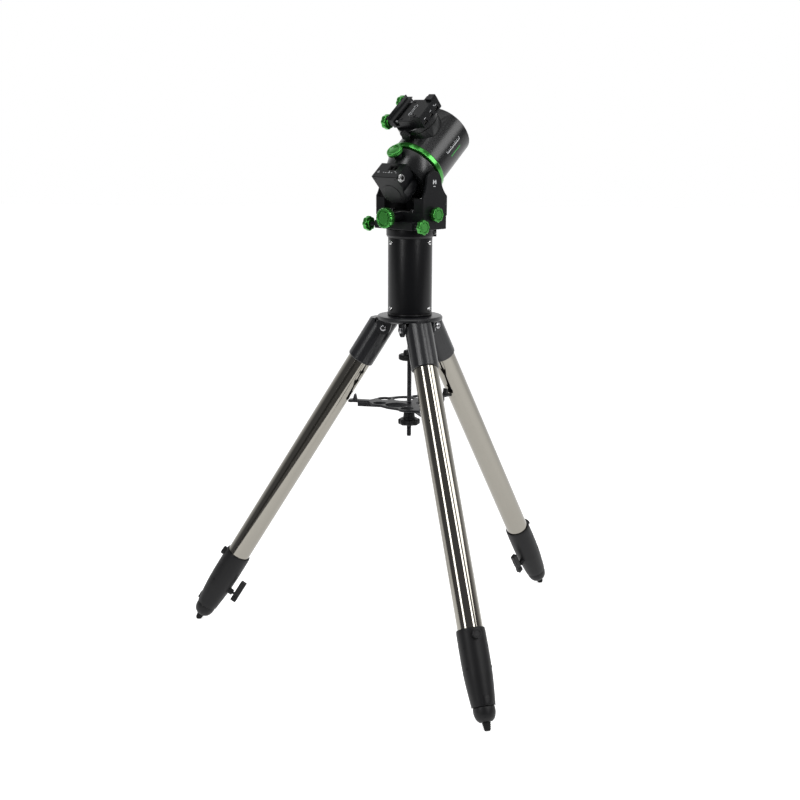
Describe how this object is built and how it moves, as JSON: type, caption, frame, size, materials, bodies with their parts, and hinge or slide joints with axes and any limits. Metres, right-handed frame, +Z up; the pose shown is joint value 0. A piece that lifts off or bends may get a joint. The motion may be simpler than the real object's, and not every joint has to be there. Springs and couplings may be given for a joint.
{
  "type": "equatorial telescope mount",
  "caption": "Motorised equatorial mount head with fine-adjustment knobs and a dovetail saddle, on a pier extension and a folding tripod with clamped telescopic legs.",
  "frame": {"origin": "on the ground, in the middle of the foot print's bounding box", "axes": "+Z up, +Y horizontally towards the pole that the polar axis points at, +X east"},
  "size_m": [0.868, 0.7587, 1.1809],
  "materials": {
    "satin_black": "fine satin black anodising",
    "powder_black": "satin black powder coat on castings",
    "plastic_black": "moulded, fine grain",
    "cast_grey": "satin dark grey paint",
    "green_anodised": "satin anodised",
    "stainless": "polished along the tube",
    "zinc": "bright zinc",
    "bearing_steel": "ground",
    "motor_black": "matt"
  },
  "bodies": {
    "tripod": {"hub_plate": "powder_black", "centre_rod": "zinc", "pier_tube": "satin_black", "pier_foot_plug": "satin_black", "pier_head_plug": "satin_black", "pier_adapter": "satin_black", "hinge_bolt_north": "zinc", "hinge_bolt_southwest": "zinc", "hinge_bolt_southeast": "zinc"},
    "leg_north": {"leg_socket_north": "powder_black", "leg_tube_north": "stainless", "leg_boot_north": "plastic_black"},
    "extension_north": {"leg_extension_north": "stainless", "leg_foot_north": "plastic_black"},
    "clamp_north": {"clamp_handle_north": "plastic_black"},
    "leg_southwest": {"leg_socket_southwest": "powder_black", "leg_tube_southwest": "stainless", "leg_boot_southwest": "plastic_black"},
    "extension_southwest": {"leg_extension_southwest": "stainless", "leg_foot_southwest": "plastic_black"},
    "clamp_southwest": {"clamp_handle_southwest": "plastic_black"},
    "leg_southeast": {"leg_socket_southeast": "powder_black", "leg_tube_southeast": "stainless", "leg_boot_southeast": "plastic_black"},
    "extension_southeast": {"leg_extension_southeast": "stainless", "leg_foot_southeast": "plastic_black"},
    "clamp_southeast": {"clamp_handle_southeast": "plastic_black"},
    "rod_knob": {"rod_knob": "plastic_black"},
    "tray": {"spreader_tray": "cast_grey"},
    "tray_knob": {"tray_knob": "plastic_black"},
    "azimuth": {"azimuth_base": "satin_black", "altitude_nut": "bearing_steel"},
    "azimuth_knob_east": {"azimuth_knob_east": "green_anodised"},
    "azimuth_knob_west": {"azimuth_knob_west": "green_anodised"},
    "ra_fixed": {"ra_housing": "satin_black", "altitude_pin_east": "bearing_steel", "altitude_pin_west": "bearing_steel", "ra_electronics_case": "satin_black", "ra_end_cover": "satin_black", "port_block": "plastic_black", "power_connector": "zinc", "ra_control_board": "plastic_black", "ra_motor": "motor_black", "ra_circular_spline": "bearing_steel"},
    "altitude_knob": {"altitude_knob": "green_anodised"},
    "altitude_lock": {"altitude_lock_knob": "green_anodised"},
    "ra_wave": {"ra_wave_generator": "bearing_steel"},
    "ra_turning": {"ra_ring": "green_anodised", "ra_turning_housing": "satin_black", "ra_flexspline": "bearing_steel", "dec_motor": "motor_black", "dec_circular_spline": "bearing_steel"},
    "dec_wave": {"dec_wave_generator": "bearing_steel"},
    "dec_turning": {"dec_flange": "satin_black", "saddle": "satin_black"},
    "jaw": {"moving_jaw": "satin_black"},
    "saddle_knob_south": {"saddle_knob_south": "green_anodised"},
    "saddle_knob_north": {"saddle_knob_north": "green_anodised"},
    "ra_brake": {"ra_brake_knob": "green_anodised"},
    "dec_brake": {"dec_brake_knob": "plastic_black"}
  },
  "joints": [
    {"name": "leg_fold_north", "type": "hinge", "parent": "tripod", "child": "leg_north", "pos_m": [0, -0.0708, 0.7], "axis": [1, 0, 0], "range_deg": [-5.3, 0]},
    {"name": "leg_extend_north", "type": "slide", "parent": "leg_north", "child": "extension_north", "axis": [0, 0.5258, -0.8506], "range_m": [0, 0.45]},
    {"name": "clamp_turn_north", "type": "hinge", "parent": "leg_north", "child": "clamp_north", "pos_m": [0, 0.32022, 0.08847], "axis": [0, -0.8506, -0.5258], "range_deg": [0, 540]},
    {"name": "leg_fold_southwest", "type": "hinge", "parent": "tripod", "child": "leg_southwest", "pos_m": [-0.04244, -0.1443, 0.7], "axis": [-0.5, 0.866, 0], "range_deg": [-5.3, 0]},
    {"name": "leg_extend_southwest", "type": "slide", "parent": "leg_southwest", "child": "extension_southwest", "axis": [-0.4553, -0.2629, -0.8506], "range_m": [0, 0.45]},
    {"name": "clamp_turn_southwest", "type": "hinge", "parent": "leg_southwest", "child": "clamp_southwest", "pos_m": [-0.38107, -0.33981, 0.08847], "axis": [0.7367, 0.4253, -0.5258], "range_deg": [0, 540]},
    {"name": "leg_fold_southeast", "type": "hinge", "parent": "tripod", "child": "leg_southeast", "pos_m": [0.04244, -0.1443, 0.7], "axis": [-0.5, -0.866, 0], "range_deg": [-5.3, 0]},
    {"name": "leg_extend_southeast", "type": "slide", "parent": "leg_southeast", "child": "extension_southeast", "axis": [0.4553, -0.2629, -0.8506], "range_m": [0, 0.45]},
    {"name": "clamp_turn_southeast", "type": "hinge", "parent": "leg_southeast", "child": "clamp_southeast", "pos_m": [0.38107, -0.33981, 0.08847], "axis": [-0.7367, 0.4253, -0.5258], "range_deg": [0, 540]},
    {"name": "rod_knob_turn", "type": "hinge", "parent": "tripod", "child": "rod_knob", "pos_m": [0, -0.1198, 0.6375], "axis": [0, 0, 1], "range_deg": [0, 720]},
    {"name": "tray_drop", "type": "slide", "parent": "tripod", "child": "tray", "axis": [0, 0, -1], "range_m": [0, 0.0388]},
    {"name": "tray_knob_turn", "type": "hinge", "parent": "tray", "child": "tray_knob", "pos_m": [0, -0.1198, 0.495], "axis": [0, 0, 1], "range_deg": [0, 720]},
    {"name": "azimuth_turn", "type": "hinge", "parent": "tripod", "child": "azimuth", "pos_m": [0, -0.1198, 0.9075], "axis": [0, 0, 1], "range_deg": [-6, 6]},
    {"name": "azimuth_screw_east", "type": "hinge", "parent": "azimuth", "child": "azimuth_knob_east", "pos_m": [0.0678, -0.1658, 0.9155], "axis": [1, 0, 0], "range_deg": [-1400, 1400]},
    {"name": "azimuth_screw_west", "type": "hinge", "parent": "azimuth", "child": "azimuth_knob_west", "pos_m": [-0.0678, -0.1658, 0.9155], "axis": [1, 0, 0], "range_deg": [-1400, 1400]},
    {"name": "altitude_turn", "type": "hinge", "parent": "azimuth", "child": "ra_fixed", "pos_m": [0, -0.1203, 1.004], "axis": [1, 0, 0], "range_deg": [-12, 22]},
    {"name": "altitude_screw", "type": "hinge", "parent": "azimuth", "child": "altitude_knob", "pos_m": [0, -0.1853, 0.932], "axis": [0, 1, 0], "range_deg": [-3630, 6640]},
    {"name": "altitude_lock_turn", "type": "hinge", "parent": "azimuth", "child": "altitude_lock", "pos_m": [0.0673, -0.1212, 0.9389], "axis": [1, 0, 0], "range_deg": [0, 360]},
    {"name": "ra_turn", "type": "hinge", "parent": "ra_fixed", "child": "ra_turning", "pos_m": [0, -0.0972, 1.03696], "axis": [0, 0.766, 0.6428], "range_deg": [-180, 180]},
    {"name": "ra_wave_turn", "type": "hinge", "parent": "ra_fixed", "child": "ra_wave", "pos_m": [0, -0.1152, 1.02186], "axis": [0, 0.766, 0.6428], "range_deg": [-18000, 18000]},
    {"name": "dec_turn", "type": "hinge", "parent": "ra_turning", "child": "dec_turning", "pos_m": [0, -0.09769, 1.12389], "axis": [0, -0.6428, 0.766], "range_deg": [-180, 180]},
    {"name": "dec_wave_turn", "type": "hinge", "parent": "ra_turning", "child": "dec_wave", "pos_m": [0, -0.0894, 1.114], "axis": [0, -0.6428, 0.766], "range_deg": [-18000, 18000]},
    {"name": "jaw_slide", "type": "slide", "parent": "dec_turning", "child": "jaw", "axis": [1, 0, 0], "range_m": [-0.003, 0.004]},
    {"name": "saddle_screw_south", "type": "hinge", "parent": "jaw", "child": "saddle_knob_south", "pos_m": [-0.0405, -0.13745, 1.1246], "axis": [1, 0, 0], "range_deg": [-1080, 1440]},
    {"name": "saddle_screw_north", "type": "hinge", "parent": "jaw", "child": "saddle_knob_north", "pos_m": [-0.0405, -0.09148, 1.16316], "axis": [1, 0, 0], "range_deg": [-1080, 1440]},
    {"name": "ra_brake_turn", "type": "hinge", "parent": "ra_fixed", "child": "ra_brake", "pos_m": [0, -0.16393, 1.06126], "axis": [0, -0.6428, 0.766], "range_deg": [0, 270]},
    {"name": "dec_brake_turn", "type": "hinge", "parent": "dec_turning", "child": "dec_brake", "pos_m": [0.005, -0.13788, 1.101], "axis": [0, 0.766, 0.6428], "range_deg": [0, 270]}
  ],
  "couplings": [
    {"joint": "leg_fold_southwest", "follows": "leg_fold_north", "ratio": 1},
    {"joint": "leg_fold_southeast", "follows": "leg_fold_north", "ratio": 1},
    {"joint": "tray_drop", "follows": "leg_fold_north", "m_per_rad": -0.418},
    {"joint": "azimuth_screw_east", "follows": "azimuth_turn", "ratio": -231.2},
    {"joint": "azimuth_screw_west", "follows": "azimuth_turn", "ratio": -231.2},
    {"joint": "altitude_screw", "follows": "altitude_turn", "ratio": 301.6},
    {"joint": "ra_wave_turn", "follows": "ra_turn", "ratio": -100},
    {"joint": "dec_wave_turn", "follows": "dec_turn", "ratio": -100},
    {"joint": "saddle_screw_south", "follows": "jaw_slide", "rad_per_m": 6283.1},
    {"joint": "saddle_screw_north", "follows": "jaw_slide", "rad_per_m": 6283.1}
  ]
}
